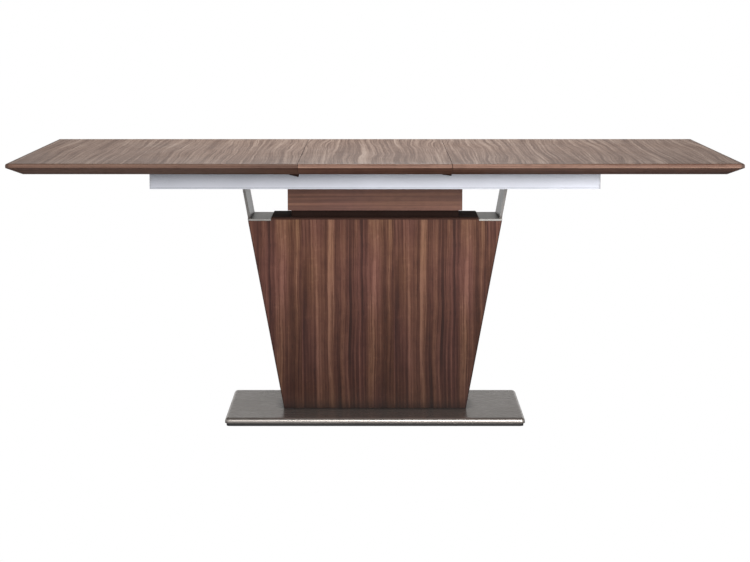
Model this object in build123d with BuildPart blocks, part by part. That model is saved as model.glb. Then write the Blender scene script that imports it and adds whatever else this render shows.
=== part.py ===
from build123d import *
import math
import os

# Extendable pedestal dining table, shown with its leaf in place. Millimetres.
# Origin on the floor under the middle of the table, X along its length, Z up.

os.makedirs("parts", exist_ok=True)

# ---- tabletop -----------------------------------------------------------------
table_height = 745.0
table_length = 1909.0
table_width = 909.0
leaf_length = 400.0
seam_gap = 0.5
top_thickness = 30.5
edge_band_height = 11.0
edge_round = 4.5
bevel_inset = 39.0
seam_arris = 0.6

# ---- base ---------------------------------------------------------------------
base_length = 826.0
base_width = 414.0
base_height = 24.0
base_corner_radius = 12.0
base_edge_radius = 9.5
cover_low = 9.0
cover_gauge = 1.5
cover_lip_radius = 1.0
ballast_low = 9.5
plinth_inset = 4.0
plinth_low = 1.0
plinth_corner_radius = 10.0
plinth_edge_radius = 1.0
glide_radius = 12.0
glide_height = 3.5
glide_margin_x = 60.0
glide_margin_y = 45.0
fit_gap = 0.3

# ---- pedestal -----------------------------------------------------------------
pedestal_top = 557.1
pedestal_half_length_top = 351.7
pedestal_half_length_low = 256.0
pedestal_half_width_top = 91.0
pedestal_half_width_low = 68.0
facing_gauge = 2.0
board = 16.0
pedestal_floor_height = 18.0
top_block_height = 40.0
top_block_inner = 270.0
cap_low = 560.5
cap_high = 566.0
cap_edge_radius = 2.0

# ---- steel brackets on the pedestal -------------------------------------------
wing_gauge = 5.2
upright_gauge = 7.5
upright_inset = 1.5
wing_inner = 288.0
wing_half_width = 92.0

# ---- bolts in the base and the pedestal ---------------------------------------
bolt_radius = 4.0
bolt_head_radius = 6.5
bolt_head_height = 5.5
bolt_head_clearance = 2.0
bolt_bite = 15.0
base_bolt_spacing_x = 360.0
base_bolt_spacing_y = 60.0
wing_bolt_x = 300.0
wing_bolt_y = 45.0
wing_bolt_bite = 4.0

# ---- apron box ----------------------------------------------------------------
apron_half_length = 241.4
apron_half_width = 92.0
apron_low = 585.7
apron_bottom_thickness = 10.0
riser_half_length = 232.0
riser_half_width = 76.0

# ---- guide rails and their frame ----------------------------------------------
rail_half_length = 600.0
rail_outer = 294.0
rail_inner = 268.0
rail_wall = 2.5
rail_low = 664.2
rail_high = 712.5
lower_chamber_height = 16.3
rail_groove_height = 1.2
rail_groove_depth = 0.7
end_cap_gauge = 2.0
end_stop_reach = 2.6
beam_width = 40.0
tube_wall = 2.0
stretcher_width = 30.0

# ---- sliding runners ----------------------------------------------------------
runner_near = 215.0
runner_inner = 246.0
runner_outer = 266.0
runner_low = 687.0
tongue_tip = 289.0
tongue_low = 690.0
tongue_high = 706.0
shoe_length = 60.0
shoe_gap = 0.3
release_travel = 40.0
screw_radius = 2.5
screw_head_radius = 4.5
screw_head_height = 4.0
screw_bite = 12.0
hole_clearance = 0.05
runner_screw_stations = (240.0, 335.0, 450.0, 530.0)

# ---- synchroniser -------------------------------------------------------------
gear_module = 2.0
pinion_teeth = 24
pressure_angle = math.radians(20.0)
dedendum_factor = 1.25
tooth_backlash = 0.25
flank_steps = 5
flank_start_above_root = 0.4
tooth_root_sink = 1.0
gear_low = 688.5
gear_high = 700.0
rack_back = 38.0
rack_near = 64.0
rack_far = 450.0
rack_toothed_length = 276.0
gear_plate_gauge = 3.0
gear_plate_half_length = 60.0
axle_radius = 6.0
axle_running_clearance = 0.05
axle_head_radius = 10.0
axle_head_height = 3.0
axle_top = 704.0
axle_chamfer = 0.5
ring_low = 700.4
ring_height = 1.2
ring_groove_radius = 5.0
ring_outer_radius = 9.0
ring_mouth = 5.0
washer_radius = 11.0
guide_half_length = 30.0
guide_wall = 9.0
guide_foot_near = 28.0
tie_near = 410.0
tie_far = 450.0
tie_gauge = 6.0

# ---- leaf ---------------------------------------------------------------------
batten_near = 100.0
batten_far = 140.0
batten_half_width = 240.0
batten_height = 11.0
pad_margin = 2.0
cleat_length = 24.0
cleat_height_left = 9.0
cleat_height_leaf = 6.0
cleat_thin_end = 3.0
cleat_inner = 340.0
cleat_outer = 395.0

# ---- places worked out from the sizes above -----------------------------------
top_underside = table_height - top_thickness
edge_band_low = table_height - edge_band_height
half_leaf = leaf_length / 2
half_top = table_length / 2
glide_spacing_x = base_length / 2 - glide_margin_x
glide_spacing_y = base_width - 2 * glide_margin_y
wing_top = pedestal_top + wing_gauge
chamber_floor = rail_low + rail_wall
chamber_roof = chamber_floor + lower_chamber_height
channel_floor = chamber_roof + rail_wall
channel_roof = rail_high - rail_wall
rail_web = rail_outer - rail_wall
end_stop = rail_half_length - end_cap_gauge - end_stop_reach
runner_far = end_stop - fit_gap - release_travel
apron_inner_half_width = apron_half_width - board
apron_inner_half_length = apron_half_length - board
stretcher_inner = apron_half_width - board - stretcher_width
gear_plate_high = chamber_roof + gear_plate_gauge
pitch_radius = gear_module * pinion_teeth / 2
tooth_pitch = math.pi * gear_module
addendum = gear_module
dedendum = dedendum_factor * gear_module
root_radius = pitch_radius - dedendum
tip_radius = pitch_radius + addendum
rack_root_line = pitch_radius + dedendum
side_slope = (pedestal_half_length_top - pedestal_half_length_low) / (pedestal_top - base_height)
face_slope = (pedestal_half_width_top - pedestal_half_width_low) / (pedestal_top - base_height)
base_bolt_points = [
    (x_sign * base_bolt_spacing_x / 2, y_sign * base_bolt_spacing_y / 2)
    for x_sign in (-1, 1)
    for y_sign in (-1, 1)
]
seam = half_leaf + seam_gap / 2
leaf_end = half_leaf - seam_gap / 2
sides = (("left", -1), ("right", 1))
edges = (("front", -1), ("rear", 1))


def half_length_at(height):
    """Half length of the tapered pedestal outline at a height."""
    return pedestal_half_length_top + side_slope * (height - pedestal_top)


def half_width_at(height):
    """Half width of the tapered pedestal outline at a height."""
    return pedestal_half_width_top + face_slope * (height - pedestal_top)


def save(piece, name):
    """Label a finished piece and write its STEP file."""
    piece.part.label = name
    export_step(piece.part, f"parts/{name}.step")


def rectangle_between(low_a, high_a, low_b, high_b, mode=Mode.ADD):
    """Rectangle in the current sketch, given by its limits on the two sketch axes."""
    with Locations(((low_a + high_a) / 2, (low_b + high_b) / 2)):
        Rectangle(abs(high_a - low_a), abs(high_b - low_b), mode=mode)


def make_board(x_limits, y_limits, z_limits):
    """Square-edged board between two limits on each axis."""
    with BuildPart() as piece:
        with BuildSketch(Plane.XY.offset(z_limits[0])):
            rectangle_between(*x_limits, *y_limits)
        extrude(amount=z_limits[1] - z_limits[0])
    return piece


# ================================================================= base
def make_slab(inset, corner_radius, low, top, top_radius):
    """Slab within the base's outline, inset from it, with rounded corners and top edge."""
    with BuildPart() as slab:
        with BuildSketch(Plane.XY.offset(low)):
            RectangleRounded(base_length - 2 * inset, base_width - 2 * inset, corner_radius)
        extrude(amount=top - low)
        fillet(slab.faces().sort_by(Axis.Z)[-1].edges(), radius=top_radius)
    return slab


def make_bored_slab(slab, cavity=None):
    """The slab with clearance holes for the base bolts, and hollowed where there is a cavity."""
    with BuildPart() as bored:
        add(slab.part)
        if cavity:
            add(cavity.part, mode=Mode.SUBTRACT)
        with BuildSketch(Plane.XY.offset(cover_low)):
            with Locations(*base_bolt_points):
                Circle(bolt_radius + fit_gap)
        extrude(amount=base_height, mode=Mode.SUBTRACT)
    return bored


with BuildPart() as cover_outside:
    add(make_slab(0.0, base_corner_radius, cover_low, base_height, base_edge_radius).part)
    fillet(cover_outside.faces().sort_by(Axis.Z)[0].edges(), radius=cover_lip_radius)
cover_inside = make_slab(
    cover_gauge,
    base_corner_radius - cover_gauge,
    cover_low,
    base_height - cover_gauge,
    base_edge_radius - cover_gauge,
)
save(make_bored_slab(cover_outside, cover_inside), "base_cover")

ballast = make_slab(
    cover_gauge + fit_gap,
    base_corner_radius - cover_gauge - fit_gap,
    ballast_low,
    base_height - cover_gauge,
    base_edge_radius - cover_gauge,
)
save(make_bored_slab(ballast), "base_ballast")

with BuildPart() as base_plinth:
    with BuildSketch(Plane.XY.offset(plinth_low)):
        RectangleRounded(
            base_length - 2 * plinth_inset,
            base_width - 2 * plinth_inset,
            plinth_corner_radius,
        )
    extrude(amount=ballast_low - plinth_low)
    fillet(base_plinth.faces().sort_by(Axis.Z)[0].edges(), radius=plinth_edge_radius)
    with BuildSketch(Plane.XY.offset(plinth_low)):
        with GridLocations(glide_spacing_x, glide_spacing_y, 3, 2):
            Circle(glide_radius + fit_gap)
    extrude(amount=glide_height - plinth_low, mode=Mode.SUBTRACT)
    with BuildSketch(Plane.XY.offset(plinth_low)):
        with Locations(*base_bolt_points):
            Circle(bolt_head_radius + bolt_head_clearance)
    extrude(amount=ballast_low, mode=Mode.SUBTRACT)
save(base_plinth, "base_plinth")

with BuildPart() as floor_glides:
    with BuildSketch():
        with GridLocations(glide_spacing_x, glide_spacing_y, 3, 2):
            Circle(glide_radius)
    extrude(amount=glide_height)
save(floor_glides, "floor_glides")

with BuildPart() as base_bolts:
    with BuildSketch(Plane.XY.offset(ballast_low - bolt_head_height)):
        with Locations(*base_bolt_points):
            RegularPolygon(bolt_head_radius, 6)
    extrude(amount=bolt_head_height)
    with BuildSketch(Plane.XY.offset(ballast_low)):
        with Locations(*base_bolt_points):
            Circle(bolt_radius)
    extrude(amount=base_height + bolt_bite - ballast_low)
save(base_bolts, "base_bolts")


# ================================================================= pedestal
def make_tapered(x_points, y_inset, z_limits, hole_points=(), hole_radius=0.0, hole_depth=0.0):
    """Solid with an X-Z outline, cut to the pedestal's taper in depth, with holes from below."""
    low, high = z_limits
    low_y = half_width_at(low) - y_inset
    high_y = half_width_at(high) - y_inset
    with BuildPart() as piece:
        with BuildSketch(Plane.XZ):
            Polygon(*x_points, align=None)
        extrude(amount=2 * table_width, both=True)
        with BuildSketch(Plane.YZ):
            Polygon((-low_y, low), (low_y, low), (high_y, high), (-high_y, high), align=None)
        extrude(amount=table_length, both=True, mode=Mode.INTERSECT)
        if hole_points:
            with BuildSketch(Plane.XY.offset(low)):
                with Locations(*hole_points):
                    Circle(hole_radius)
            extrude(amount=hole_depth, mode=Mode.SUBTRACT)
    return piece


def slanted_strip(sign, inset, thickness, z_limits):
    """X-Z corner points of a strip that follows a pedestal side, inset from its outline."""
    low, high = z_limits
    return (
        (sign * (half_length_at(low) - inset), low),
        (sign * (half_length_at(high) - inset), high),
        (sign * (half_length_at(high) - inset - thickness), high),
        (sign * (half_length_at(low) - inset - thickness), low),
    )


def make_face_panel(sign):
    """Front or rear veneered panel, notched at its top corners for the wing plates."""
    low_y = half_width_at(base_height)
    high_y = half_width_at(cap_low)
    low_x = half_length_at(base_height) - facing_gauge
    high_x = half_length_at(pedestal_top) - facing_gauge
    with BuildPart() as panel:
        with BuildSketch(Plane.YZ):
            Polygon(
                (sign * low_y, base_height),
                (sign * high_y, cap_low),
                (sign * (high_y - board), cap_low),
                (sign * (low_y - board), base_height),
                align=None,
            )
        extrude(amount=table_length, both=True)
        with BuildSketch(Plane.XZ):
            Polygon(
                (-low_x, base_height),
                (low_x, base_height),
                (high_x, pedestal_top),
                (wing_inner, pedestal_top),
                (wing_inner, cap_low),
                (-wing_inner, cap_low),
                (-wing_inner, pedestal_top),
                (-high_x, pedestal_top),
                align=None,
            )
        extrude(amount=table_width, both=True, mode=Mode.INTERSECT)
    return panel


def make_inner_board(z_limits, hole_points=()):
    """Horizontal board that fills the pedestal between its panels."""
    low, high = z_limits
    inset = facing_gauge + board
    outline = (
        (-(half_length_at(low) - inset), low),
        (half_length_at(low) - inset, low),
        (half_length_at(high) - inset, high),
        (-(half_length_at(high) - inset), high),
    )
    return make_tapered(outline, board, z_limits, hole_points, bolt_radius + hole_clearance, bolt_bite)


for edge, sign in edges:
    save(make_face_panel(sign), f"pedestal_{edge}_panel")

carcass = (base_height, pedestal_top)
for side, sign in sides:
    save(make_tapered(slanted_strip(sign, 0, facing_gauge, carcass), 0, carcass), f"side_facing_{side}")
    side_board = make_tapered(slanted_strip(sign, facing_gauge, board, carcass), board, carcass)
    save(side_board, f"pedestal_side_{side}")

floor_limits = (base_height, base_height + pedestal_floor_height)
save(make_inner_board(floor_limits, base_bolt_points), "pedestal_floor")

with BuildPart() as pedestal_cap:
    with BuildSketch(Plane.XY.offset(cap_low)):
        Rectangle(2 * (wing_inner - fit_gap), 2 * half_width_at(cap_low))
    extrude(amount=cap_high - cap_low)
    fillet(pedestal_cap.faces().sort_by(Axis.Z)[-1].edges(), radius=cap_edge_radius)
save(pedestal_cap, "pedestal_cap")


# ================================================================= steel brackets
def make_top_block(sign):
    """Timber block that carries a wing plate, bored for the plate's two bolts."""
    low = pedestal_top - top_block_height
    inset = facing_gauge + board
    outline = (
        (sign * top_block_inner, low),
        (sign * (half_length_at(low) - inset), low),
        (sign * (half_length_at(pedestal_top) - inset), pedestal_top),
        (sign * top_block_inner, pedestal_top),
    )
    holes = ((sign * wing_bolt_x, -wing_bolt_y), (sign * wing_bolt_x, wing_bolt_y))
    limits = (low, pedestal_top)
    return make_tapered(outline, board, limits, holes, bolt_radius + fit_gap, top_block_height)


def make_wing_plate(sign):
    """Steel plate on the pedestal's shoulder, tapped from below for its bolts."""
    with BuildPart() as wing:
        with BuildSketch(Plane.XZ):
            Polygon(
                (sign * wing_inner, pedestal_top),
                (sign * half_length_at(pedestal_top), pedestal_top),
                (sign * half_length_at(wing_top), wing_top),
                (sign * wing_inner, wing_top),
                align=None,
            )
        extrude(amount=wing_half_width, both=True)
        with BuildSketch(Plane.XY.offset(pedestal_top)):
            with Locations((sign * wing_bolt_x, -wing_bolt_y), (sign * wing_bolt_x, wing_bolt_y)):
                Circle(bolt_radius + hole_clearance)
        extrude(amount=wing_bolt_bite, mode=Mode.SUBTRACT)
    return wing


def make_upright(sign):
    """Slanted steel plate from a wing plate up to the cross beam."""
    with BuildPart() as upright:
        with BuildSketch(Plane.XZ):
            corners = slanted_strip(sign, upright_inset, upright_gauge, (wing_top, chamber_floor))
            Polygon(*corners, align=None)
        extrude(amount=wing_half_width, both=True)
    return upright


for side, sign in sides:
    save(make_top_block(sign), f"top_block_{side}")
    save(make_wing_plate(sign), f"wing_plate_{side}")
    save(make_upright(sign), f"upright_{side}")

with BuildPart() as wing_bolts:
    with BuildSketch(Plane.XY.offset(pedestal_top - top_block_height - bolt_head_height)):
        with GridLocations(2 * wing_bolt_x, 2 * wing_bolt_y, 2, 2):
            RegularPolygon(bolt_head_radius, 6)
    extrude(amount=bolt_head_height)
    with BuildSketch(Plane.XY.offset(pedestal_top - top_block_height)):
        with GridLocations(2 * wing_bolt_x, 2 * wing_bolt_y, 2, 2):
            Circle(bolt_radius)
    extrude(amount=top_block_height + wing_bolt_bite)
save(wing_bolts, "wing_bolts")

# ================================================================= apron box
for edge, sign in edges:
    apron_face = (sign * apron_inner_half_width, sign * apron_half_width)
    face = make_board((-apron_half_length, apron_half_length), apron_face, (apron_low, chamber_roof))
    save(face, f"apron_{edge}")

for side, sign in sides:
    end_x = (sign * apron_inner_half_length, sign * apron_half_length)
    end_y = (-apron_inner_half_width, apron_inner_half_width)
    save(make_board(end_x, end_y, (apron_low, chamber_floor)), f"apron_end_{side}")

apron_bottom = make_board(
    (-apron_inner_half_length, apron_inner_half_length),
    (-apron_inner_half_width, apron_inner_half_width),
    (apron_low, apron_low + apron_bottom_thickness),
)
save(apron_bottom, "apron_bottom")

riser_block = make_board(
    (-riser_half_length, riser_half_length),
    (-riser_half_width, riser_half_width),
    (cap_high, apron_low),
)
save(riser_block, "riser_block")


# ================================================================= frame and rails
def make_rail(sign):
    """Aluminium guide rail: a closed-off lower chamber under an open running channel."""
    with BuildPart() as rail:
        with BuildSketch(Plane.YZ):
            rectangle_between(sign * rail_inner, sign * rail_outer, rail_low, rail_high)
            for low, high in ((chamber_floor, chamber_roof), (channel_floor, channel_roof)):
                rectangle_between(sign * rail_inner, sign * rail_web, low, high, Mode.SUBTRACT)
            groove_y = (sign * (rail_outer - rail_groove_depth), sign * rail_outer)
            groove_z = (chamber_floor, chamber_floor + rail_groove_height)
            rectangle_between(*groove_y, *groove_z, Mode.SUBTRACT)
        extrude(amount=rail_half_length - end_cap_gauge, both=True)
    return rail


def make_tube(plane, low_a, high_a, half_length):
    """Rectangular steel tube between two limits across, its height that of the lower chamber."""
    with BuildPart() as tube:
        with BuildSketch(plane):
            rectangle_between(low_a, high_a, chamber_floor, chamber_roof)
            rectangle_between(
                low_a + tube_wall,
                high_a - tube_wall,
                chamber_floor + tube_wall,
                chamber_roof - tube_wall,
                Mode.SUBTRACT,
            )
        extrude(amount=half_length, both=True)
    return tube


beam_centre = half_length_at(chamber_floor) - upright_inset - upright_gauge / 2
for side, sign in sides:
    beam_low = sign * beam_centre - beam_width / 2
    beam_high = sign * beam_centre + beam_width / 2
    save(make_tube(Plane.XZ, beam_low, beam_high, rail_web), f"cross_beam_{side}")

for edge, sign in edges:
    save(make_rail(sign), f"rail_{edge}")
    stretcher_centre = sign * (stretcher_inner + stretcher_width / 2)
    stretcher_low = stretcher_centre - stretcher_width / 2
    stretcher_high = stretcher_centre + stretcher_width / 2
    stretcher_half_length = beam_centre - beam_width / 2
    save(make_tube(Plane.YZ, stretcher_low, stretcher_high, stretcher_half_length), f"stretcher_{edge}")

with BuildPart() as rail_end_caps:
    with BuildSketch(Plane.YZ.offset(rail_half_length - end_cap_gauge)):
        rectangle_between(rail_inner, rail_outer, rail_low, rail_high)
    extrude(amount=end_cap_gauge)
    with BuildSketch(Plane.YZ.offset(rail_half_length - end_cap_gauge)):
        rectangle_between(
            rail_inner, rail_web - fit_gap, chamber_floor + fit_gap, chamber_roof - fit_gap
        )
        rectangle_between(
            rail_inner, rail_web - fit_gap, channel_floor + fit_gap, channel_roof - fit_gap
        )
    extrude(amount=-end_stop_reach)
    mirror(about=Plane.XZ)
    mirror(about=Plane.YZ)
save(rail_end_caps, "rail_end_caps")


# ================================================================= synchroniser
def involute(angle):
    """Involute function of a pressure angle."""
    return math.tan(angle) - angle


def tooth_half_angle(radius):
    """Half angle of a pinion tooth at a radius, from its involute flank."""
    base_radius = pitch_radius * math.cos(pressure_angle)
    flank_angle = math.acos(min(1.0, base_radius / radius))
    at_pitch = (math.pi * gear_module / 2 - tooth_backlash) / (2 * pitch_radius)
    return at_pitch + involute(pressure_angle) - involute(flank_angle)


flank_start = root_radius + flank_start_above_root
flank_radii = [
    flank_start + (tip_radius - flank_start) * step / flank_steps
    for step in range(flank_steps + 1)
]
flank_right = [
    (radius * math.cos(tooth_half_angle(radius)), -radius * math.sin(tooth_half_angle(radius)))
    for radius in flank_radii
]
flank_left = [(x, -y) for x, y in reversed(flank_right)]
inside_root = root_radius - tooth_root_sink
tooth_foot = [(inside_root, flank_left[-1][1]), (inside_root, flank_right[0][1])]

with BuildPart() as pinion:
    with BuildSketch(Plane.XY.offset(gear_low)):
        Circle(root_radius)
        with PolarLocations(0, pinion_teeth):
            Polygon(*flank_right, *flank_left, *tooth_foot, align=None)
    extrude(amount=gear_high - gear_low)
    with BuildSketch(Plane.XY.offset(gear_low)):
        Circle(axle_radius + axle_running_clearance)
    extrude(amount=gear_high - gear_low, mode=Mode.SUBTRACT)
save(pinion, "pinion")


def make_rack(x_sign, y_sign):
    """Toothed rack of one table half, on its own side of the pinion."""
    tooth_height = addendum + dedendum
    at_pitch_line = tooth_pitch / 2 - tooth_backlash
    tooth_base = at_pitch_line + 2 * dedendum * math.tan(pressure_angle)
    flank_slope = 90 - math.degrees(pressure_angle)
    tooth_count = int(rack_toothed_length / tooth_pitch)
    teeth_inboard = int(rack_near / tooth_pitch - 0.5)
    stations = [x_sign * tooth_pitch * (tooth + 0.5 - teeth_inboard) for tooth in range(tooth_count)]
    with BuildPart() as rack:
        with BuildSketch(Plane.XY.offset(gear_low)):
            rectangle_between(
                -x_sign * rack_near, x_sign * rack_far, y_sign * rack_root_line, y_sign * rack_back
            )
            for station in stations:
                with Locations(Location((station, y_sign * rack_root_line, 0), (0, 0, 90 * (y_sign + 1)))):
                    Trapezoid(tooth_base, tooth_height, flank_slope, align=(Align.CENTER, Align.MIN))
        extrude(amount=gear_high - gear_low)
    return rack


for (side, x_sign), (edge, y_sign) in zip(sides, edges):
    save(make_rack(x_sign, y_sign), f"rack_{side}")

    bracket_x = (x_sign * tie_near, x_sign * tie_far)
    bracket_y = (y_sign * rack_root_line, y_sign * rack_back)
    bracket_z = (gear_high, top_underside - tie_gauge)
    save(make_board(bracket_x, bracket_y, bracket_z), f"rack_bracket_{side}")

    tie_y = (-runner_inner, runner_inner)
    save(make_board(bracket_x, tie_y, (top_underside - tie_gauge, top_underside)), f"tie_bar_{side}")

with BuildPart() as gear_plate:
    with BuildSketch(Plane.XY.offset(chamber_roof)):
        Rectangle(2 * gear_plate_half_length, 2 * apron_inner_half_width)
        Circle(axle_radius + hole_clearance, mode=Mode.SUBTRACT)
    extrude(amount=gear_plate_gauge)
save(gear_plate, "gear_plate")

with BuildPart() as pinion_axle:
    with BuildSketch(Plane.XY.offset(chamber_roof - axle_head_height)):
        Circle(axle_head_radius)
    extrude(amount=axle_head_height)
    with BuildSketch(Plane.XY.offset(chamber_roof)):
        Circle(axle_radius)
    extrude(amount=axle_top - chamber_roof)
    with BuildSketch(Plane.XY.offset(ring_low)):
        Circle(axle_radius)
        Circle(ring_groove_radius, mode=Mode.SUBTRACT)
    extrude(amount=ring_height, mode=Mode.SUBTRACT)
    chamfer(pinion_axle.edges().sort_by(Axis.Z)[-1], length=axle_chamfer)
save(pinion_axle, "pinion_axle")

with BuildPart() as retaining_ring:
    with BuildSketch(Plane.XY.offset(ring_low)):
        Circle(ring_outer_radius)
        Circle(ring_groove_radius, mode=Mode.SUBTRACT)
        rectangle_between(0, ring_outer_radius, -ring_mouth / 2, ring_mouth / 2, Mode.SUBTRACT)
    extrude(amount=ring_height)
save(retaining_ring, "retaining_ring")

with BuildPart() as thrust_washer:
    with BuildSketch(Plane.XY.offset(gear_plate_high)):
        Circle(washer_radius)
        Circle(axle_radius + hole_clearance, mode=Mode.SUBTRACT)
    extrude(amount=gear_low - fit_gap - gear_plate_high)
save(thrust_washer, "thrust_washer")

with BuildPart() as rack_guides:
    guide_far = rack_back + guide_wall
    with BuildSketch(Plane.YZ):
        rectangle_between(rack_back + fit_gap, guide_far, gear_plate_high, gear_high)
        rectangle_between(guide_foot_near, guide_far, gear_plate_high, gear_low - fit_gap)
    extrude(amount=guide_half_length, both=True)
    mirror(about=Plane.XZ)
save(rack_guides, "rack_guides")


# ================================================================= sliding halves
def runner_screw_points(x_sign):
    """Plan positions of the screws that hold a half to its two runners."""
    line = (runner_inner + runner_outer) / 2
    return [(x_sign * x, y_sign * line) for x in runner_screw_stations for y_sign in (-1, 1)]


def make_runner(x_sign, y_sign):
    """Aluminium runner: a bar under the top with a tongue that slides in the rail."""
    with BuildPart() as runner:
        with BuildSketch(Plane.YZ.offset(x_sign * runner_near)):
            rectangle_between(y_sign * runner_inner, y_sign * runner_outer, runner_low, top_underside)
            rectangle_between(y_sign * runner_outer, y_sign * tongue_tip, tongue_low, tongue_high)
        extrude(amount=x_sign * (runner_far - runner_near))
        with BuildSketch(Plane.XY.offset(runner_low)):
            with Locations(*runner_screw_points(x_sign)):
                Circle(screw_head_radius + fit_gap)
        extrude(amount=screw_head_height, mode=Mode.SUBTRACT)
        with BuildSketch(Plane.XY.offset(runner_low)):
            with Locations(*runner_screw_points(x_sign)):
                Circle(screw_radius + hole_clearance)
        extrude(amount=top_underside - runner_low, mode=Mode.SUBTRACT)
    return runner


def make_glide_shoes(x_sign):
    """Nylon shoes round both ends of both tongues of a half."""
    shoe_starts = (runner_near, runner_far - shoe_length)
    with BuildPart() as shoes:
        for start in shoe_starts:
            with BuildSketch(Plane.YZ.offset(x_sign * start)):
                rectangle_between(
                    rail_inner,
                    rail_web - shoe_gap,
                    channel_floor + shoe_gap,
                    channel_roof - shoe_gap,
                )
                rectangle_between(rail_inner, tongue_tip, tongue_low, tongue_high, Mode.SUBTRACT)
            extrude(amount=x_sign * shoe_length)
        mirror(about=Plane.XZ)
    return shoes


def make_runner_screws(x_sign):
    """Pan-head screws up through the runners into the underside of a half."""
    with BuildPart() as screws:
        with BuildSketch(Plane.XY.offset(runner_low)):
            with Locations(*runner_screw_points(x_sign)):
                Circle(screw_head_radius)
        extrude(amount=screw_head_height)
        with BuildSketch(Plane.XY.offset(runner_low)):
            with Locations(*runner_screw_points(x_sign)):
                Circle(screw_radius)
        extrude(amount=top_underside + screw_bite - runner_low)
    return screws


def make_top_panel(x_low, x_high, screw_points):
    """Part of the bevelled top between two cross planes, with pilot holes beneath."""
    with BuildPart() as panel:
        with BuildSketch(Plane.XY.offset(top_underside)):
            Rectangle(table_length - 2 * bevel_inset, table_width - 2 * bevel_inset)
        with BuildSketch(Plane.XY.offset(edge_band_low)):
            Rectangle(table_length, table_width)
        loft()
        with BuildSketch(Plane.XY.offset(edge_band_low)):
            Rectangle(table_length, table_width)
        extrude(amount=edge_band_height)
        fillet(panel.faces().sort_by(Axis.Z)[-1].edges(), radius=edge_round)
        with BuildSketch(Plane.XY.offset(top_underside)):
            rectangle_between(x_low, x_high, -half_top, half_top)
        extrude(amount=top_thickness, mode=Mode.INTERSECT)
        cross_edges = panel.faces().sort_by(Axis.Z)[-1].edges().filter_by(Axis.Y)
        seam_edges = [edge for edge in cross_edges if abs(edge.center().X) < half_leaf + seam_gap]
        chamfer(seam_edges, length=seam_arris)
        if screw_points:
            with BuildSketch(Plane.XY.offset(top_underside)):
                with Locations(*screw_points):
                    Circle(screw_radius + hole_clearance)
            extrude(amount=screw_bite, mode=Mode.SUBTRACT)
    return panel


for side, x_sign in sides:
    panel_ends = sorted((x_sign * seam, x_sign * half_top))
    save(make_top_panel(*panel_ends, runner_screw_points(x_sign)), f"tabletop_{side}")
    for edge, y_sign in edges:
        save(make_runner(x_sign, y_sign), f"runner_{edge}_{side}")
    save(make_glide_shoes(x_sign), f"glide_shoes_{side}")
    save(make_runner_screws(x_sign), f"runner_screws_{side}")


def make_cleats(x_end, height):
    """Two wedge blocks under a panel, near its long edges, deepest at the seam."""
    thin_x = x_end - cleat_length
    with BuildPart() as cleats:
        with BuildSketch(Plane.XZ.offset(cleat_inner)):
            Polygon(
                (thin_x, top_underside),
                (thin_x, top_underside - cleat_thin_end),
                (x_end, top_underside - height),
                (x_end, top_underside),
                align=None,
            )
        extrude(amount=cleat_outer - cleat_inner)
        mirror(about=Plane.XZ)
    return cleats


save(make_cleats(-seam, cleat_height_left), "seam_cleats_left")

# ================================================================= leaf
save(make_top_panel(-leaf_end, leaf_end, []), "tabletop_leaf")
save(make_cleats(leaf_end, cleat_height_leaf), "seam_cleats_leaf")

with BuildPart() as leaf_battens:
    with BuildSketch(Plane.XY.offset(top_underside - batten_height)):
        rectangle_between(batten_near, batten_far, -batten_half_width, batten_half_width)
    extrude(amount=batten_height)
    mirror(about=Plane.YZ)
save(leaf_battens, "leaf_battens")

with BuildPart() as leaf_pads:
    with BuildSketch(Plane.XY.offset(rail_high)):
        rectangle_between(batten_near, batten_far, rail_inner + pad_margin, rail_outer - pad_margin)
    extrude(amount=top_underside - rail_high)
    mirror(about=Plane.YZ)
    mirror(about=Plane.XZ)
save(leaf_pads, "leaf_pads")
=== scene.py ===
import math

import bpy
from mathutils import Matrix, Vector


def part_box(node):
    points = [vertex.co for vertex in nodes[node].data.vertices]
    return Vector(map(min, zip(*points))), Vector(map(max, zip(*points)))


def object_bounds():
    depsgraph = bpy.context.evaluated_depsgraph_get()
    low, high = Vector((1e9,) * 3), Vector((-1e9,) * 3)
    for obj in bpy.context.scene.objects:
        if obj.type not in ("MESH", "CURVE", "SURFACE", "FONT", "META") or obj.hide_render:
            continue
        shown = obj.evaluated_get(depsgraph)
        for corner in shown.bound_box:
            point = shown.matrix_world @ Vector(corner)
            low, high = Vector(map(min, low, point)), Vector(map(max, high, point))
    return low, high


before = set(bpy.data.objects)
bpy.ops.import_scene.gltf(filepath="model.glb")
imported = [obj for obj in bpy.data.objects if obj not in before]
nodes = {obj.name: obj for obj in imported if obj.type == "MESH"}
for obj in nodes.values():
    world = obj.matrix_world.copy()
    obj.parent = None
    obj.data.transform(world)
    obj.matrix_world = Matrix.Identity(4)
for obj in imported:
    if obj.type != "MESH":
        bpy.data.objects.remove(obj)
cad_box = [list(corner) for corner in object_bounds()]


# ---- node tree helpers ---------------------------------------------------------
# Cosine between the face and its rounded neighbour: flat above the first, an edge at the second.
flat_cosine = 0.995
edge_cosine = 0.85


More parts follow.
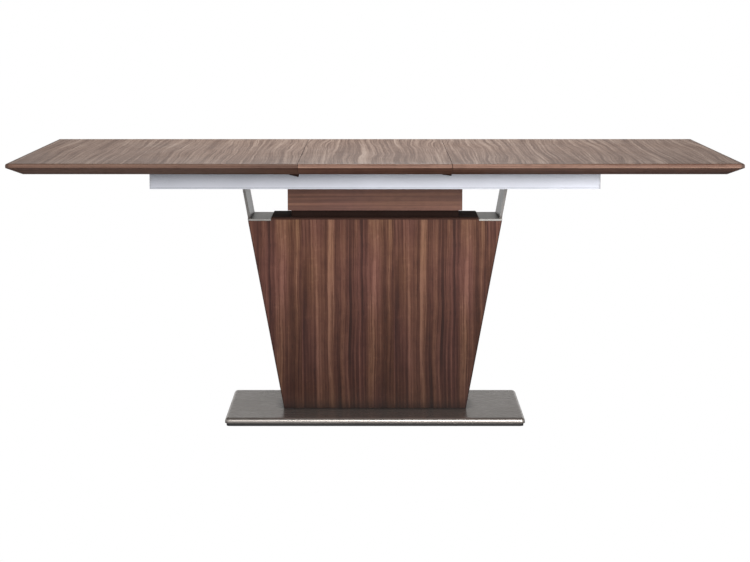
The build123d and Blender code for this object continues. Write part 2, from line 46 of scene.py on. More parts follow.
class Tree:
    """Short calls for building a material's nodes."""

    def __init__(self, name):
        self.material = bpy.data.materials.new(name)
        self.material.use_nodes = True
        self.graph = self.material.node_tree
        self.shader = self.graph.nodes["Principled BSDF"]
        self.coordinates = self.graph.nodes.new("ShaderNodeTexCoord")
        self.position = self.coordinates.outputs["Object"]

    def connect(self, value, socket):
        """Set a socket to a number or a colour, or link an output to it."""
        if isinstance(value, bpy.types.NodeSocket):
            self.graph.links.new(value, socket)
        else:
            socket.default_value = value

    def math(self, operation, first, second=0.0, third=0.0):
        """One arithmetic node."""
        node = self.graph.nodes.new("ShaderNodeMath")
        node.operation = operation
        for socket, value in zip(node.inputs, (first, second, third)):
            self.connect(value, socket)
        return node.outputs[0]

    def split(self, vector):
        """The X, Y and Z of a vector."""
        node = self.graph.nodes.new("ShaderNodeSeparateXYZ")
        self.connect(vector, node.inputs[0])
        return node.outputs[0], node.outputs[1], node.outputs[2]

    def join(self, x, y, z):
        """A vector from X, Y and Z."""
        node = self.graph.nodes.new("ShaderNodeCombineXYZ")
        for socket, value in zip(node.inputs, (x, y, z)):
            self.connect(value, socket)
        return node.outputs[0]

    def noise(self, vector, scale=1.0, detail=2.0, roughness=0.5):
        """Noise with a mean of 0.5; scale is in features per metre."""
        node = self.graph.nodes.new("ShaderNodeTexNoise")
        self.connect(vector, node.inputs["Vector"])
        node.inputs["Scale"].default_value = scale
        node.inputs["Detail"].default_value = detail
        node.inputs["Roughness"].default_value = roughness
        return node.outputs["Fac"]

    def remap(self, value, from_low, from_high, to_low=0.0, to_high=1.0):
        """Straight line through the two pairs, held level outside them."""
        node = self.graph.nodes.new("ShaderNodeMapRange")
        node.clamp = True
        for socket, entry in zip(node.inputs, (value, from_low, from_high, to_low, to_high)):
            self.connect(entry, socket)
        return node.outputs[0]

    def ramp(self, value, stops):
        """Colours in between the (place, colour) stops."""
        node = self.graph.nodes.new("ShaderNodeValToRGB")
        elements = node.color_ramp.elements
        while len(elements) < len(stops):
            elements.new(0.5)
        for element, (place, colour) in zip(elements, stops):
            element.position = place
            element.color = (*colour, 1.0)
        self.connect(value, node.inputs[0])
        return node.outputs[0]

    def mix(self, factor, first, second, blend="MIX"):
        """The first colour at factor 0, the second at factor 1."""
        node = self.graph.nodes.new("ShaderNodeMix")
        node.data_type = "RGBA"
        node.blend_type = blend
        # A mix node keeps its colour sockets behind those for numbers and vectors.
        sockets = (node.inputs[0], node.inputs[6], node.inputs[7])
        for socket, value in zip(sockets, (factor, first, second)):
            self.connect(value, socket)
        return node.outputs[2]

    def edge_mask(self, radius):
        """Near 1 on convex and concave edges, 0 on flat faces."""
        rounded = self.graph.nodes.new("ShaderNodeBevel")
        rounded.samples = 4
        rounded.inputs["Radius"].default_value = radius
        flat = self.graph.nodes.new("ShaderNodeNewGeometry")
        dot = self.graph.nodes.new("ShaderNodeVectorMath")
        dot.operation = "DOT_PRODUCT"
        self.connect(rounded.outputs[0], dot.inputs[0])
        self.connect(flat.outputs["Normal"], dot.inputs[1])
        return self.remap(dot.outputs["Value"], flat_cosine, edge_cosine)

    def painted_occlusion_shade(self, distance, closed, free, darkest):
        """Painted shade: 1 where a surface lies open, down to darkest in corners and under overhangs.
        """
        node = self.graph.nodes.new("ShaderNodeAmbientOcclusion")
        node.samples = 8
        node.inputs["Distance"].default_value = distance
        return self.remap(node.outputs["AO"], closed, free, darkest, 1.0)

    def dim(self, colour, factor):
        """The colour times a grey factor."""
        return self.mix(1.0, colour, self.join(factor, factor, factor), "MULTIPLY")

    def scaled(self, vector, scales):
        """The vector with each component times its own scale."""
        parts = zip(self.split(vector), scales)
        return self.join(*(self.math("MULTIPLY", part, scale) for part, scale in parts))

    def weigh(self, parts):
        """Sum of (value, weight) pairs."""
        (first, weight), *others = parts
        total = self.math("MULTIPLY", first, weight)
        for value, weight in others:
            total = self.math("MULTIPLY_ADD", value, weight, total)
        return total

    def centred(self, value):
        """A noise value with its mean moved to 0."""
        return self.math("SUBTRACT", value, 0.5)

    def two_tone(self, value, tint, limits, dull, bright):
        """The tint, from dull times to bright times its own level as value passes the limits."""
        low, high = limits
        dark = tuple(channel * dull for channel in tint)
        light = tuple(min(1.0, channel * bright) for channel in tint)
        return self.ramp(value, ((low, dark), (high, light)))

    def bump(self, height, strength, distance):
        """Relief on the whole surface; the height runs from 0 to 1."""
        node = self.graph.nodes.new("ShaderNodeBump")
        node.inputs["Strength"].default_value = strength
        node.inputs["Distance"].default_value = distance
        self.connect(height, node.inputs["Height"])
        self.connect(node.outputs[0], self.shader.inputs["Normal"])

    def finish(self, colour, roughness, metallic=0.0, **constants):
        """Fill the shader; constants are shader sockets by name with _ for spaces."""
        self.connect(colour, self.shader.inputs["Base Color"])
        self.connect(roughness, self.shader.inputs["Roughness"])
        self.shader.inputs["Metallic"].default_value = metallic
        for name, value in constants.items():
            self.shader.inputs[name.replace("_", " ")].default_value = value
        return self.material


# ---- wood ----------------------------------------------------------------------
walnut_dark = (0.014, 0.0065, 0.0050, 1.0)
top_pore = (0.030, 0.018, 0.013, 1.0)
# Dark colour for joints, and for painted shade along the edges and ends of the top.
top_joint_and_shade = (0.060, 0.034, 0.025, 1.0)
haze_colour = (0.21, 0.125, 0.100, 1.0)
lacquer_gleam = 0.22
top_gleam = 0.25
# Colours from the darkest tone to the lightest.
warm_palette = (
    (0.00, (0.0410, 0.0118, 0.0057)),
    (0.28, (0.0743, 0.0239, 0.0116)),
    (0.52, (0.1200, 0.0458, 0.0232)),
    (0.76, (0.1761, 0.0768, 0.0384)),
    (1.00, (0.2713, 0.1372, 0.0706)),
)
cool_palette = (
    (0.00, (0.0361, 0.0106, 0.0077)),
    (0.28, (0.0680, 0.0211, 0.0152)),
    (0.52, (0.1106, 0.0385, 0.0275)),
    (0.76, (0.1681, 0.0654, 0.0462)),
    (1.00, (0.2713, 0.1200, 0.0851)),
)
top_palette = (
    (0.00, (0.1103, 0.0647, 0.0465)),
    (0.30, (0.1575, 0.1000, 0.0744)),
    (0.55, (0.2048, 0.1372, 0.1051)),
    (0.78, (0.2520, 0.1764, 0.1376)),
    (1.00, (0.3150, 0.2332, 0.1879)),
)
lipping_palette = (
    (0.00, (0.0682, 0.0290, 0.0187)),
    (0.35, (0.1054, 0.0510, 0.0341)),
    (0.65, (0.1457, 0.0783, 0.0539)),
    (1.00, (0.2046, 0.1189, 0.0853)),
)
# Painted shade: darker colours for the downward-facing bevel under the edge.
shaded_bevel_palette = (
    (0.00, (0.0382, 0.0158, 0.0105)),
    (0.35, (0.0638, 0.0277, 0.0189)),
    (0.65, (0.0935, 0.0450, 0.0308)),
    (1.00, (0.1360, 0.0713, 0.0504)),
)

# Places in a split vector.
X, Y, Z = 0, 1, 2
# Width of one leaf of veneer and how far its grain wanders, on the pedestal and on thin boards.
pedestal_leaf, pedestal_wander = 0.257, 0.030
board_leaf, board_wander = 3.0, 0.010
top_leaf, top_wander = 0.43, 0.060
# The leaves are counted from this many to the left, so that no count is negative.
leaves_before = 40
# Every piece of veneer has a seed, which moves its figure this far along in the noise.
seed_step = 3.7
# Neighbouring leaves of veneer differ by this much, so they match but are not copies.
leaf_step = 0.05
depth_scale = 3.0
# The grain bends slowly and, by a share of that, quickly; both in bends per metre.
slow_across, slow_along = 4.0, 2.0
quick_across, quick_along = 20.0, 9.0
quick_share = 0.20
# Layers of the figure: features per metre across and along the grain, and a place in the noise.
broad_layer = (14.0, 0.6, 0.0)
band_layer = (46.0, 0.9, 11.0)
stripe_layer = (120.0, 1.3, 17.0)
line_layer = (300.0, 2.5, 23.0)
fibre_layer = (900.0, 16.0, 31.0)
ray_layer = (60.0, 110.0, 43.0)
pore_layer = (1500.0, 42.0, 57.0)
patch_layer = (8.0, 3.0, 71.0)
streak_layer = (34.0, 0.9, 77.0)
mottle_layer = (32.0, 20.0, 83.0)
glint_layer = (230.0, 1.6, 91.0)
# How much broad bands, bands, stripes and dark lines count, and the spread of tones.
upright_weights = (0.24, 0.34, 0.26, 0.19, 1.15)
level_weights = (0.20, 0.24, 0.26, 0.16, 0.80)
top_weights = (0.14, 0.26, 0.32, 0.32, 1.25)
fibre_weight = 0.22
ray_weight = 0.05
glint_weight = 0.20
mottle_weight = 0.20
middle_tone = 0.49
# The figure of the top is finer than that of the pedestal by this factor.
top_fineness = 1.4


def wood_figure(tree, across, along, depth, seed, leaf_width, wander, weights=upright_weights):
    """Walnut figure in metres: tone from 0 dark to 1 light, warmth, pores, and fine fibre.

    across and along are places across and along the grain; depth tells parallel faces apart."""
    broad_weight, band_weight, stripe_weight, line_weight, contrast = weights
    shift = seed * seed_step
    from_start = tree.math("ADD", across, shift + leaves_before * leaf_width)
    leaf_number = tree.math("FLOOR", tree.math("DIVIDE", from_start, leaf_width))
    in_leaf = tree.math("MODULO", from_start, leaf_width)
    leaf_shift = tree.math("MULTIPLY", leaf_number, leaf_step)

    def bending(scale_across, scale_along, offset, detail):
        vector = tree.join(
            tree.math("MULTIPLY", in_leaf, scale_across),
            tree.math("MULTIPLY", along, scale_along),
            shift + offset,
        )
        return tree.centred(tree.noise(vector, detail=detail))

    bend = tree.math("MULTIPLY_ADD", bending(slow_across, slow_along, 0, 1.0), wander, in_leaf)
    quick = bending(quick_across, quick_along, 5, 2.0)
    bend = tree.math("MULTIPLY_ADD", quick, wander * quick_share, bend)

    def layer(scales, detail=1.0, roughness=0.5):
        scale_across, scale_along, offset = scales
        place = tree.math("ADD", leaf_shift, shift + offset)
        vector = tree.join(
            tree.math("MULTIPLY", bend, scale_across),
            tree.math("MULTIPLY", along, scale_along),
            tree.math("MULTIPLY_ADD", depth, depth_scale, place),
        )
        return tree.noise(vector, detail=detail, roughness=roughness)

    fibre = layer(fibre_layer, detail=2.0, roughness=0.7)
    tone = tree.weigh((
        (tree.remap(layer(broad_layer), 0.30, 0.70), broad_weight),
        (tree.remap(layer(band_layer), 0.34, 0.66), band_weight),
        (tree.remap(layer(stripe_layer), 0.34, 0.66), stripe_weight),
        (fibre, fibre_weight),
        (tree.remap(layer(ray_layer), 0.56, 0.80), ray_weight),
        (tree.remap(layer(glint_layer), 0.60, 0.72), glint_weight),
        (tree.centred(layer(mottle_layer)), mottle_weight),
        (tree.remap(layer(line_layer), 0.50, 0.68), -line_weight),
    ))
    from_middle = tree.math("SUBTRACT", tone, middle_tone)
    tone = tree.math("MULTIPLY_ADD", from_middle, contrast, middle_tone)
    tone = tree.remap(tone, 0.10, 0.88)
    hue = tree.weigh(((layer(patch_layer), 0.65), (layer(streak_layer), 0.35)))
    warmth = tree.remap(hue, 0.38, 0.62)
    pores = tree.remap(layer(pore_layer, roughness=0.4), 0.60, 0.70)
    return tone, warmth, pores, fibre


# Painted shade: heights between which a piece darkens from its lower level at the bottom to its own
# level.
foot_low = 0.02
foot_high = 0.52


def walnut(name, figure, roughness, edge_strength, level=1.0, foot_painted_shade=1.0, haze=0.0):
    """Lacquered walnut; figure is a function of the tree that gives tone, warmth, pores, fibre.

    level makes the whole piece lighter or darker, foot_painted_shade darkens its lower end as painted
    shade; haze greys it."""
    tree = Tree(name)
    tone, warmth, pores, fibre = figure(tree)
    colour = tree.mix(warmth, tree.ramp(tone, cool_palette), tree.ramp(tone, warm_palette))
    colour = tree.mix(tree.math("MULTIPLY", pores, 0.5), colour, walnut_dark)
    # Dark edges: partly dark joints, partly painted shade on the edges.
    edge_mark = tree.math("MULTIPLY", tree.edge_mask(radius=0.0016), edge_strength)
    colour = tree.mix(edge_mark, colour, walnut_dark)
    colour = tree.mix(haze, colour, haze_colour)
    # Painted shade: darker towards the bottom.
    z = tree.split(tree.position)[Z]
    height_painted_shade = tree.remap(z, foot_low, foot_high, level * foot_painted_shade, level)
    # Painted shade: darker in corners and under overhangs.
    shade = tree.painted_occlusion_shade(distance=0.036, closed=0.45, free=0.95, darkest=0.38)
    colour = tree.dim(colour, tree.math("MULTIPLY", shade, height_painted_shade))
    smudge = tree.noise(tree.position, scale=5.0, detail=3.0)
    gloss = tree.remap(smudge, 0.3, 0.7, roughness - 0.05, roughness + 0.06)
    gloss = tree.math("MULTIPLY_ADD", pores, 0.12, gloss)
    height = tree.math("SUBTRACT", tree.math("MULTIPLY", fibre, 0.5), pores)
    tree.bump(height, strength=0.18, distance=0.0002)
    return tree.finish(colour, gloss, Specular_IOR_Level=lacquer_gleam)


def upright_figure(across, seed):
    """Grain straight up on a face whose other axis is across."""

    def figure(tree):
        place = tree.split(tree.position)
        return wood_figure(
            tree, place[across], place[Z], 0.0, seed, pedestal_leaf, pedestal_wander
        )

    return figure


def level_figure(along, depth, seed):
    """Grain level, along one axis; the depth tells two faces apart."""

    def figure(tree):
        place = tree.split(tree.position)
        return wood_figure(
            tree, place[Z], place[along], place[depth], seed, board_leaf, board_wander, level_weights
        )

    return figure


table_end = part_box("tabletop_right")[1].x
# Painted shade: a thin dark line runs across each end of the top; it starts at the first distance
# from the end and is full from the second.
end_shade_start = 0.0095
end_shade_full = 0.0080
end_shade_strength = 0.75
joint_strength = 0.80
# Painted shade: level of the lipping at the ends and the rear, as a share of its level in front.
far_lipping_shade = 0.5


def table_top(name, seed, lipping_painted_light):
    """Top veneer across the table, with lipping whose grain follows each edge.

    lipping_painted_light makes the lipping lighter or darker than the palettes; higher values on the
    leaf and the right half are painted light."""
    tree = Tree(name)
    x, y, z = tree.split(tree.position)
    normal_x, normal_y, normal_z = tree.split(tree.coordinates.outputs["Normal"])
    across = tree.math("MULTIPLY", x, top_fineness)
    tone, _, pores, fibre = wood_figure(tree, across, y, 0.0, seed, top_leaf, top_wander, top_weights)
    veneer = tree.ramp(tone, top_palette)
    # The grain of the lipping runs along X, but along Y at the two ends.
    faces_end = tree.math("GREATER_THAN", tree.math("ABSOLUTE", normal_x), 0.4)
    run = tree.math("MULTIPLY_ADD", faces_end, tree.math("SUBTRACT", y, x), x)
    side = tree.math("MULTIPLY_ADD", faces_end, tree.math("SUBTRACT", x, y), y)
    edge = wood_figure(tree, z, run, side, seed + 1, board_leaf, board_wander)
    edge_tone, _, edge_pores, edge_fibre = edge
    # Painted shade: the bevel below the edge faces down and gets darker colours.
    under = tree.remap(normal_z, -0.25, -0.45)
    rim = tree.ramp(edge_tone, lipping_palette)
    bevel = tree.ramp(edge_tone, shaded_bevel_palette)
    lipping = tree.mix(under, rim, bevel)
    # Painted shade: lipping that faces the ends or the rear is darker.
    away = tree.math("MAXIMUM", tree.math("ABSOLUTE", normal_x), normal_y)
    far_shade_level = far_lipping_shade * lipping_painted_light
    lipping = tree.dim(lipping, tree.remap(away, 0.20, 0.50, lipping_painted_light, far_shade_level))
    upper = tree.remap(normal_z, 0.80, 0.97)
    # The joint between veneer and lipping lies where the edge begins to turn down.
    from_edge = tree.remap(normal_z, 0.62, 0.78)
    to_flat = tree.remap(normal_z, 0.985, 0.93)
    joint = tree.math("MULTIPLY", from_edge, to_flat)
    lower = tree.math("LESS_THAN", normal_z, -0.95)
    flat = tree.math("MAXIMUM", upper, lower)
    colour = tree.mix(flat, lipping, veneer)
    pore_mix = tree.math("MULTIPLY_ADD", flat, tree.math("SUBTRACT", pores, edge_pores), edge_pores)
    fibre_mix = tree.math("MULTIPLY_ADD", flat, tree.math("SUBTRACT", fibre, edge_fibre), edge_fibre)
    colour = tree.mix(tree.math("MULTIPLY", pore_mix, 0.45), colour, top_pore)
    from_middle = tree.math("ABSOLUTE", x)
    # Painted shade: a dark line along each end of the top.
    end_shade_line = tree.remap(from_middle, table_end - end_shade_start, table_end - end_shade_full)
    joint = tree.math("MULTIPLY", joint, joint_strength)
    end_shade_line = tree.math("MULTIPLY", end_shade_line, end_shade_strength)
    lines = tree.math("MAXIMUM", joint, end_shade_line)
    # Dark edges: partly dark joints, partly painted shade on the rounded edges.
    edge_mark = tree.math("MULTIPLY", tree.edge_mask(radius=0.0012), 0.35)
    colour = tree.mix(tree.math("MAXIMUM", edge_mark, lines), colour, top_joint_and_shade)
    smudge = tree.noise(tree.position, scale=4.0, detail=3.0)
    gloss = tree.remap(smudge, 0.3, 0.7, 0.42, 0.52)
    gloss = tree.math("MULTIPLY_ADD", pore_mix, 0.10, gloss)
    height = tree.math("SUBTRACT", tree.math("MULTIPLY", fibre_mix, 0.5), pore_mix)
    tree.bump(height, strength=0.16, distance=0.0002)
    return tree.finish(colour, gloss, Specular_IOR_Level=top_gleam)


# ---- metals --------------------------------------------------------------------
# Steel seen at a low angle keeps this share of its full mirror brightness.
edge_tint = (0.5, 0.5, 0.5, 1.0)
weld_dark_tint = (0.045, 0.034, 0.030, 1.0)
# Just above a weld the steel is darker and browner: full up to the first height and gone at the
# second.
weld_dark_start = 0.004
weld_dark_end = 0.013
weld_dark_strength = 0.85


def brushed_steel(name, scales, tint, roughness, side_painted_shade=1.0, weld_z=None, metallic=1.0):
    """Stainless steel brushed along the axis with the smallest scale; upright faces are darkened by
    side_painted_shade as painted shade.

    weld_z is the height of a weld; the steel is darker and browner just above it."""
    tree = Tree(name)
    z = tree.split(tree.position)[Z]
    streak = tree.noise(tree.scaled(tree.position, scales), detail=4.0, roughness=0.75)
    cloud = tree.noise(tree.position, scale=7.0, detail=3.0)
    colour = tree.two_tone(streak, tint, limits=(0.25, 0.75), dull=0.88, bright=1.10)
    edge_mark = tree.math("MULTIPLY", tree.edge_mask(radius=0.0010), 0.3)
    rubbed = tuple(channel * 1.3 for channel in tint)
    colour = tree.mix(edge_mark, colour, (*rubbed, 1.0))
    # Painted shade: upright faces darker than level ones.
    normal_z = tree.split(tree.coordinates.outputs["Normal"])[Z]
    levelness = tree.math("ABSOLUTE", normal_z)
    colour = tree.dim(colour, tree.remap(levelness, 0.3, 0.7, side_painted_shade, 1.0))
    # Painted shade: darker in corners and under overhangs.
    shade = tree.painted_occlusion_shade(distance=0.030, closed=0.40, free=0.95, darkest=0.25)
    colour = tree.dim(colour, shade)
    if weld_z is not None:
        ragged_z = tree.math("MULTIPLY_ADD", cloud, 0.004, z)
        weld_dark = tree.remap(ragged_z, weld_z + weld_dark_end, weld_z + weld_dark_start)
        colour = tree.mix(tree.math("MULTIPLY", weld_dark, weld_dark_strength), colour, weld_dark_tint)
    gloss = tree.remap(streak, 0.25, 0.75, roughness + 0.06, roughness - 0.04)
    gloss = tree.math("MULTIPLY_ADD", tree.centred(cloud), 0.12, gloss)
    tree.bump(streak, strength=0.25, distance=0.0003)
    return tree.finish(colour, gloss, metallic=metallic, Specular_Tint=edge_tint)


def satin_metal(name, tint, roughness, speckle_scale):
    """Blasted or coated metal with a fine even speckle."""
    tree = Tree(name)
    speckle = tree.noise(tree.position, scale=speckle_scale, detail=3.0, roughness=0.7)
    cloud = tree.noise(tree.position, scale=6.0, detail=2.0)
    colour = tree.two_tone(cloud, tint, limits=(0.3, 0.7), dull=0.93, bright=1.06)
    edge_mark = tree.math("MULTIPLY", tree.edge_mask(radius=0.0008), 0.35)
    rubbed = tuple(channel * 1.06 for channel in tint)
    colour = tree.mix(edge_mark, colour, (*rubbed, 1.0))
    # Painted shade: darker in corners and under overhangs.
    shade = tree.painted_occlusion_shade(distance=0.050, closed=0.45, free=0.97, darkest=0.30)
    colour = tree.dim(colour, shade)
    gloss = tree.remap(speckle, 0.3, 0.7, roughness - 0.05, roughness + 0.05)
    tree.bump(speckle, strength=0.10, distance=0.0001)
    return tree.finish(colour, gloss, metallic=0.85)


def plain_solid(name, tint, roughness, grain_scale, bump_strength=0.1, gleam=0.5):
    """Board, plastic or rubber with a fine surface grain and faint clouding."""
    tree = Tree(name)
    grain = tree.noise(tree.position, scale=grain_scale, detail=4.0, roughness=0.65)
    cloud = tree.noise(tree.position, scale=11.0, detail=2.0)
    colour = tree.two_tone(grain, tint, limits=(0.3, 0.7), dull=0.80, bright=1.18)
    gloss = tree.remap(cloud, 0.3, 0.7, roughness - 0.06, roughness + 0.06)
    tree.bump(grain, strength=bump_strength, distance=0.0002)
    return tree.finish(colour, gloss, Specular_IOR_Level=gleam)


chips_per_metre = 420.0
dark_chip = (0.20, 0.125, 0.070)
light_chip = (0.42, 0.30, 0.18)


def raw_board(name):
    """Particle board: coarse chips of several browns."""
    tree = Tree(name)
    chips = tree.graph.nodes.new("ShaderNodeTexVoronoi")
    chips.inputs["Scale"].default_value = chips_per_metre
    tree.connect(tree.position, chips.inputs["Vector"])
    shade = tree.noise(chips.outputs["Position"], scale=350.0, detail=1.0)
    colour = tree.ramp(shade, ((0.3, dark_chip), (0.7, light_chip)))
    tree.bump(chips.outputs["Distance"], strength=0.15, distance=0.0003)
    return tree.finish(colour, roughness=0.8)


# ---- which node gets which material --------------------------------------------
veneer_roughness = 0.42
pedestal_look = {
    "roughness": veneer_roughness,
    "edge_strength": 0.5,
    "level": 1.06,
    "foot_painted_shade": 0.42,
}
# Painted light: level paints the apron's walnut lighter than the pedestal's.
apron_look = {
    "roughness": veneer_roughness,
    "edge_strength": 0.85,
    "level": 1.6,
    "haze": 0.25,
}
# Painted shade: level paints the side facings darker than the pedestal.
side_look = {
    "roughness": veneer_roughness,
    "edge_strength": 0.6,
    "level": 0.6,
    "foot_painted_shade": 0.5,
}
materials = {
    # Painted light: the lipping of the leaf and the right half is painted lighter than that of the
    # left half.
    "tabletop_left": table_top("veneer_left", seed=1, lipping_painted_light=1.05),
    "tabletop_leaf": table_top("veneer_leaf", seed=4, lipping_painted_light=1.7),
    "tabletop_right": table_top("veneer_right", seed=7, lipping_painted_light=1.65),
    "pedestal_front_panel": walnut("walnut_front", upright_figure(X, seed=2), **pedestal_look),
    "pedestal_rear_panel": walnut("walnut_rear", upright_figure(X, seed=5), **pedestal_look),
    "apron_front": walnut("walnut_apron_front", level_figure(X, Y, seed=3), **apron_look),
    "apron_rear": walnut("walnut_apron_rear", level_figure(X, Y, seed=6), **apron_look),
}
apron_end = walnut("walnut_apron_end", level_figure(Y, X, seed=8), **apron_look)
side_veneer = walnut("walnut_side", upright_figure(Y, seed=9), **side_look)
# Brushing marks per metre along and across the direction of the brush.
brushed_along = 9.0
brushed_across = 900.0
steel_tint = (0.50, 0.475, 0.455)
base_tint = (0.500, 0.455, 0.420)
wing_tint = (0.76, 0.73, 0.69)
wing_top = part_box("wing_plate_left")[1].z
steel_along_x = brushed_steel(
    "steel_along_x",
    (brushed_along, brushed_across, brushed_across),
    base_tint,
    roughness=0.26,
    metallic=0.82,
)
steel_along_y = brushed_steel(
    "steel_along_y",
    (brushed_across, brushed_along, brushed_across),
    wing_tint,
    roughness=0.30,
    side_painted_shade=0.34,
)
steel_along_z = brushed_steel(
    "steel_along_z",
    (brushed_across, brushed_across, brushed_along),
    steel_tint,
    roughness=0.32,
    side_painted_shade=0.30,
    weld_z=wing_top,
)
aluminium = satin_metal("anodised_aluminium", (0.50, 0.51, 0.56), 0.46, speckle_scale=1500.0)
grey_paint = satin_metal("grey_powder_coat", (0.30, 0.31, 0.32), 0.55, speckle_scale=900.0)
zinc = satin_metal("zinc_plate", (0.66, 0.66, 0.64), 0.35, speckle_scale=1200.0)
iron = satin_metal("raw_iron", (0.13, 0.13, 0.14), 0.65, speckle_scale=500.0)
board_look = {"roughness": 0.80, "grain_scale": 240.0, "gleam": 0.15}
dark_board = plain_solid("dark_board", (0.021, 0.0090, 0.0062), **board_look)
# Painted shade: the pedestal cap under the apron is coloured near-black brown for the deep shade
# there.
cap_painted_shade = plain_solid("cap_painted_shade", (0.055, 0.025, 0.018), **board_look)
black_plinth = plain_solid("black_plinth", (0.012, 0.011, 0.011), 0.5, grain_scale=500.0)
end_cap_plastic = plain_solid("silver_plastic", (0.42, 0.42, 0.46), 0.45, grain_scale=700.0)
nylon = plain_solid("nylon", (0.78, 0.76, 0.70), 0.5, grain_scale=600.0)
acetal = plain_solid("black_acetal", (0.022, 0.022, 0.024), 0.42, grain_scale=700.0)
rubber = plain_solid(
    "black_rubber", (0.018, 0.018, 0.018), 0.75, grain_scale=900.0, bump_strength=0.25
)
chipboard = raw_board("particle_board")

shared = (
    (apron_end, ("apron_end_left", "apron_end_right")),
    (steel_along_x, ("base_cover",)),
    (steel_along_y, ("wing_plate_left", "wing_plate_right")),
    (side_veneer, ("side_facing_left", "side_facing_right")),
    (steel_along_z, ("upright_left", "upright_right")),
    (
        aluminium,
        (
            "rail_front",
            "rail_rear",
            "runner_front_left",
            "runner_front_right",
            "runner_rear_left",
            "runner_rear_right",
        ),
    ),
    (
        grey_paint,
        (
            "cross_beam_left",
            "cross_beam_right",
            "stretcher_front",
            "stretcher_rear",
            "gear_plate",
            "tie_bar_left",
            "tie_bar_right",
            "rack_bracket_left",
            "rack_bracket_right",
        ),
    ),
    (
        zinc,
        (
            "base_bolts",
            "wing_bolts",
            "runner_screws_left",
            "runner_screws_right",
            "pinion_axle",
            "retaining_ring",
        ),
    ),
    (iron, ("base_ballast",)),
    (dark_board, ("riser_block", "seam_cleats_left", "seam_cleats_leaf")),
    (cap_painted_shade, ("pedestal_cap",)),
    (black_plinth, ("base_plinth",)),
    (end_cap_plastic, ("rail_end_caps",)),
    (nylon, ("glide_shoes_left", "glide_shoes_right", "rack_guides", "thrust_washer", "pinion")),
    (acetal, ("rack_left", "rack_right")),
    (rubber, ("floor_glides", "leaf_pads")),
    (
        chipboard,
        (
            "pedestal_side_left",
            "pedestal_side_right",
            "pedestal_floor",
            "apron_bottom",
            "top_block_left",
            "top_block_right",
            "leaf_battens",
        ),
    ),
)
for material, names in shared:
    for name in names:
        materials[name] = material

for name, node in nodes.items():
    node.data.materials.clear()
    node.data.materials.append(materials[name])

# ---- softened edges on what shows ----------------------------------------------
# Width of the rounding in metres, and the pieces that have it.
edge_radii = (
    (
        0.0005,
        (
            "pedestal_front_panel",
            "pedestal_rear_panel",
            "side_facing_left",
            "side_facing_right",
            "rail_front",
            "rail_rear",
        ),
    ),
    (0.0006, ("tabletop_left", "tabletop_leaf", "tabletop_right")),
    (0.0008, ("apron_front", "apron_rear", "apron_end_left", "apron_end_right")),
    (0.0010, ("wing_plate_left", "wing_plate_right", "upright_left", "upright_right")),
    (0.0015, ("base_plinth",)),
)
for radius, names in edge_radii:
    for name in names:
        bevel = nodes[name].modifiers.new("soft_edges", "BEVEL")
        bevel.width = radius
        bevel.segments = 3
        bevel.limit_method = "ANGLE"
        bevel.angle_limit = math.radians(25)
        bevel.harden_normals = False

# ---- stage: floor, lights and camera -------------------------------------------
plain_white = (1.0, 1.0, 1.0, 1.0)
floor_half = 1500.0
floor_corners = [
    (-floor_half, -floor_half, 0.0),
    (floor_half, -floor_half, 0.0),
    (floor_half, floor_half, 0.0),
    (-floor_half, floor_half, 0.0),
]
floor_mesh = bpy.data.meshes.new("floor")
floor_mesh.from_pydata(floor_corners, [], [(0, 1, 2, 3)])
floor = bpy.data.objects.new("floor", floor_mesh)
bpy.context.collection.objects.link(floor)


def show_white(graph, lit, white_type, surface):
    """Plain white to the camera, the lit shader to every other ray."""
    seen = graph.nodes.new("ShaderNodeLightPath")
    white = graph.nodes.new(white_type)
    blend = graph.nodes.new("ShaderNodeMixShader")
    white.inputs["Color"].default_value = plain_white
    white.inputs["Strength"].default_value = 1.0
    graph.links.new(seen.outputs["Is Camera Ray"], blend.inputs[0])
    graph.links.new(lit, blend.inputs[1])
    graph.links.new(white.outputs[0], blend.inputs[2])
    graph.links.new(blend.outputs[0], surface)


# Seen as plain white, the floor counts as mid-grey for the light it gives back to the table.
floor_tree = Tree("pale_floor")
floor_grey = (0.45, 0.45, 0.45, 1.0)
floor_mesh.materials.append(floor_tree.finish(floor_grey, roughness=0.9))
show_white(
    floor_tree.graph,
    floor_tree.shader.outputs[0],
    "ShaderNodeEmission",
    floor_tree.graph.nodes["Material Output"].inputs["Surface"],
)

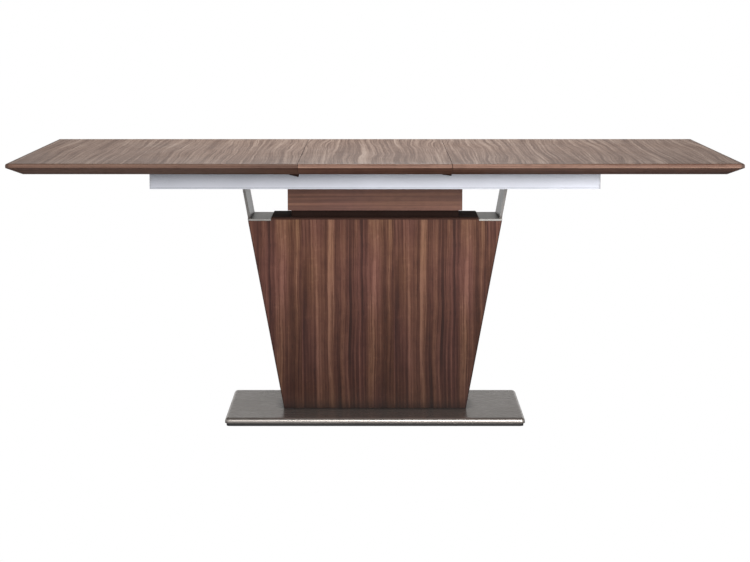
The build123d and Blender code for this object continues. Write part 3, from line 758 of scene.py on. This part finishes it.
# The room is brighter near the horizon than overhead; heights are sines of elevation.
sky_stops = (
    (0.00, 0.60),
    (0.11, 0.62),
    (0.28, 0.70),
    (0.33, 0.16),
    (1.00, 0.12),
)
world = bpy.data.worlds.new("studio")
world.use_nodes = True
sky = world.node_tree
direction = sky.nodes.new("ShaderNodeTexCoord")
sky_split = sky.nodes.new("ShaderNodeSeparateXYZ")
sky_ramp = sky.nodes.new("ShaderNodeValToRGB")
background = sky.nodes["Background"]
elements = sky_ramp.color_ramp.elements
while len(elements) < len(sky_stops):
    elements.new(0.5)
for element, (place, level) in zip(elements, sky_stops):
    element.position = place
    element.color = (level, level, level, 1.0)
sky.links.new(direction.outputs["Generated"], sky_split.inputs[0])
sky.links.new(sky_split.outputs["Z"], sky_ramp.inputs[0])
sky.links.new(sky_ramp.outputs[0], background.inputs["Color"])
background.inputs["Strength"].default_value = 1.0
# Behind the table the camera sees a plain white backdrop instead.
show_white(
    sky, background.outputs[0], "ShaderNodeBackground", sky.nodes["World Output"].inputs["Surface"]
)
bpy.context.scene.world = world


def soft_light(name, place, aim, width, height, power):
    """White rectangular softbox at a place, turned to face a point and hidden from the camera."""
    data = bpy.data.lights.new(name, "AREA")
    data.shape = "RECTANGLE"
    data.size = width
    data.size_y = height
    data.energy = power
    light = bpy.data.objects.new(name, data)
    light.location = place
    light.rotation_euler = (Vector(aim) - Vector(place)).to_track_quat("-Z", "Y").to_euler()
    light.visible_camera = False
    bpy.context.collection.objects.link(light)


# Lights: a strong key on the right, a weak fill on the left, one above the top for its sheen, and
# a low one behind that lights the back and the underside of the top.
table_middle = (0.0, 0.0, 0.5)
top_middle = (0.0, 0.0, cad_box[1][2])
under_top = (0.0, 0.0, 0.6)
soft_light("key", (2.05, -6.2, 2.3), table_middle, width=4.6, height=4.4, power=390.0)
soft_light("fill", (-2.75, -6.2, 2.3), table_middle, width=4.6, height=4.4, power=45.0)
soft_light("over", (0.0, 0.5, 2.4), top_middle, width=1.0, height=0.8, power=46.0)
soft_light("rear", (0.0, 5.0, 0.26), under_top, width=7.0, height=0.5, power=16.0)

# Camera: the table seen square on from in front, 8 degrees down, with a long lens. The lens and
# the sensor are in millimetres.
lens_length = 98.3712
sensor_width = 36.0
camera_height = 1.1804
camera_distance = 5.732
camera_pitch = math.radians(7.99)
camera_data = bpy.data.cameras.new("camera")
camera_data.sensor_width = sensor_width
camera_data.lens = lens_length
camera_data.clip_end = 5000.0
camera = bpy.data.objects.new("camera", camera_data)
camera.location = (0.0, -camera_distance, camera_height)
camera.rotation_euler = (math.pi / 2 - camera_pitch, 0.0, 0.0)
bpy.context.collection.objects.link(camera)
bpy.context.scene.camera = camera
bpy.context.scene.view_settings.view_transform = "Standard"
